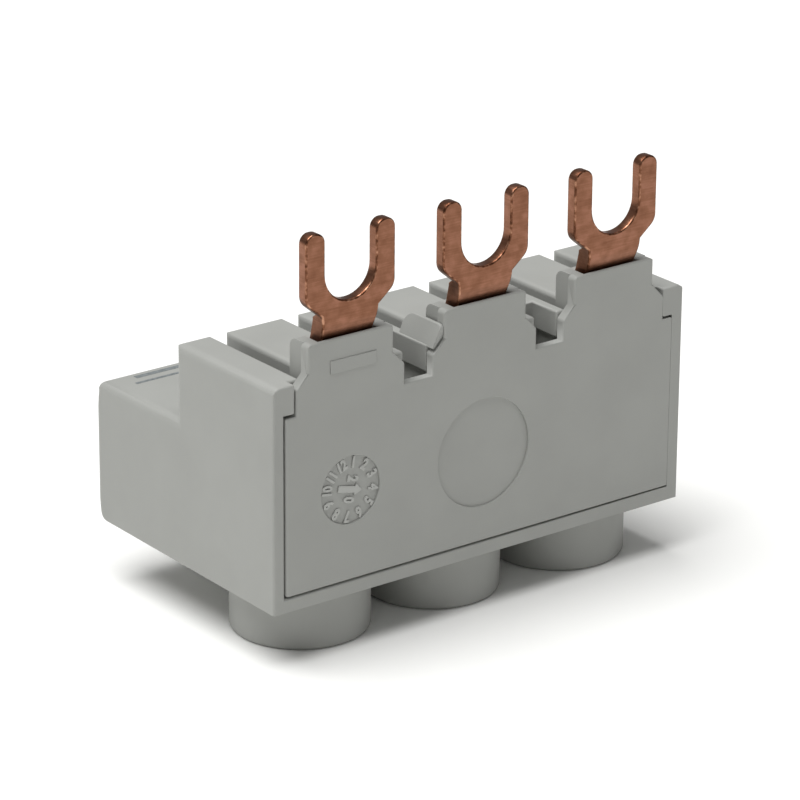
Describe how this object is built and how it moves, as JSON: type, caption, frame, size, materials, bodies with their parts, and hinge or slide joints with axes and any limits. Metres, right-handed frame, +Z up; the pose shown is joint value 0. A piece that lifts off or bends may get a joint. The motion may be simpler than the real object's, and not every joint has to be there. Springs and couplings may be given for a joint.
{
  "type": "incoming terminal block",
  "caption": "Feeder terminal block with upright copper forks, a moulded housing and rear cover, round cable collars below and screw-driven box clamps inside.",
  "frame": {"origin": "on the surface that the collars stand on, under the middle of the block's box", "axes": "+X across the poles, +Y from the rear cover to the nose with the screw holes, +Z up to the forks"},
  "size_m": [0.045, 0.027, 0.0384],
  "materials": {
    "housing_polyamide": "light grey glass-filled polyamide, fine matt moulded grain",
    "cover_polyamide": "grey glass-filled polyamide, fine matt moulded grain",
    "copper": "bare stamped copper strip, slightly dulled, with sheared edges",
    "cage_steel": "zinc-plated folded steel strip",
    "screw_steel": "zinc-plated turned steel"
  },
  "bodies": {
    "block": {"housing": "housing_polyamide", "rear_cover": "cover_polyamide", "fork_bar_1": "copper", "fork_bar_2": "copper", "fork_bar_3": "copper", "clamp_cage_1": "cage_steel", "clamp_cage_2": "cage_steel", "clamp_cage_3": "cage_steel"},
    "pad_1": {"pressure_pad_1": "cage_steel"},
    "screw_1": {"clamp_screw_1": "screw_steel"},
    "pad_2": {"pressure_pad_2": "cage_steel"},
    "screw_2": {"clamp_screw_2": "screw_steel"},
    "pad_3": {"pressure_pad_3": "cage_steel"},
    "screw_3": {"clamp_screw_3": "screw_steel"}
  },
  "joints": [
    {"name": "pad_travel_1", "type": "slide", "parent": "block", "child": "pad_1", "axis": [0, -1, 0], "range_m": [0, 0.006]},
    {"name": "screw_turn_1", "type": "hinge", "parent": "pad_1", "child": "screw_1", "pos_m": [-0.0144, 0.0035, 0.01215], "axis": [0, -1, 0], "range_deg": [0, 2165]},
    {"name": "pad_travel_2", "type": "slide", "parent": "block", "child": "pad_2", "axis": [0, -1, 0], "range_m": [0, 0.006]},
    {"name": "screw_turn_2", "type": "hinge", "parent": "pad_2", "child": "screw_2", "pos_m": [0, 0.0035, 0.01215], "axis": [0, -1, 0], "range_deg": [0, 2165]},
    {"name": "pad_travel_3", "type": "slide", "parent": "block", "child": "pad_3", "axis": [0, -1, 0], "range_m": [0, 0.006]},
    {"name": "screw_turn_3", "type": "hinge", "parent": "pad_3", "child": "screw_3", "pos_m": [0.0144, 0.0035, 0.01215], "axis": [0, -1, 0], "range_deg": [0, 2165]}
  ],
  "couplings": [
    {"joint": "screw_turn_1", "follows": "pad_travel_1", "rad_per_m": 6283.2},
    {"joint": "screw_turn_2", "follows": "pad_travel_2", "rad_per_m": 6283.2},
    {"joint": "screw_turn_3", "follows": "pad_travel_3", "rad_per_m": 6283.2}
  ]
}
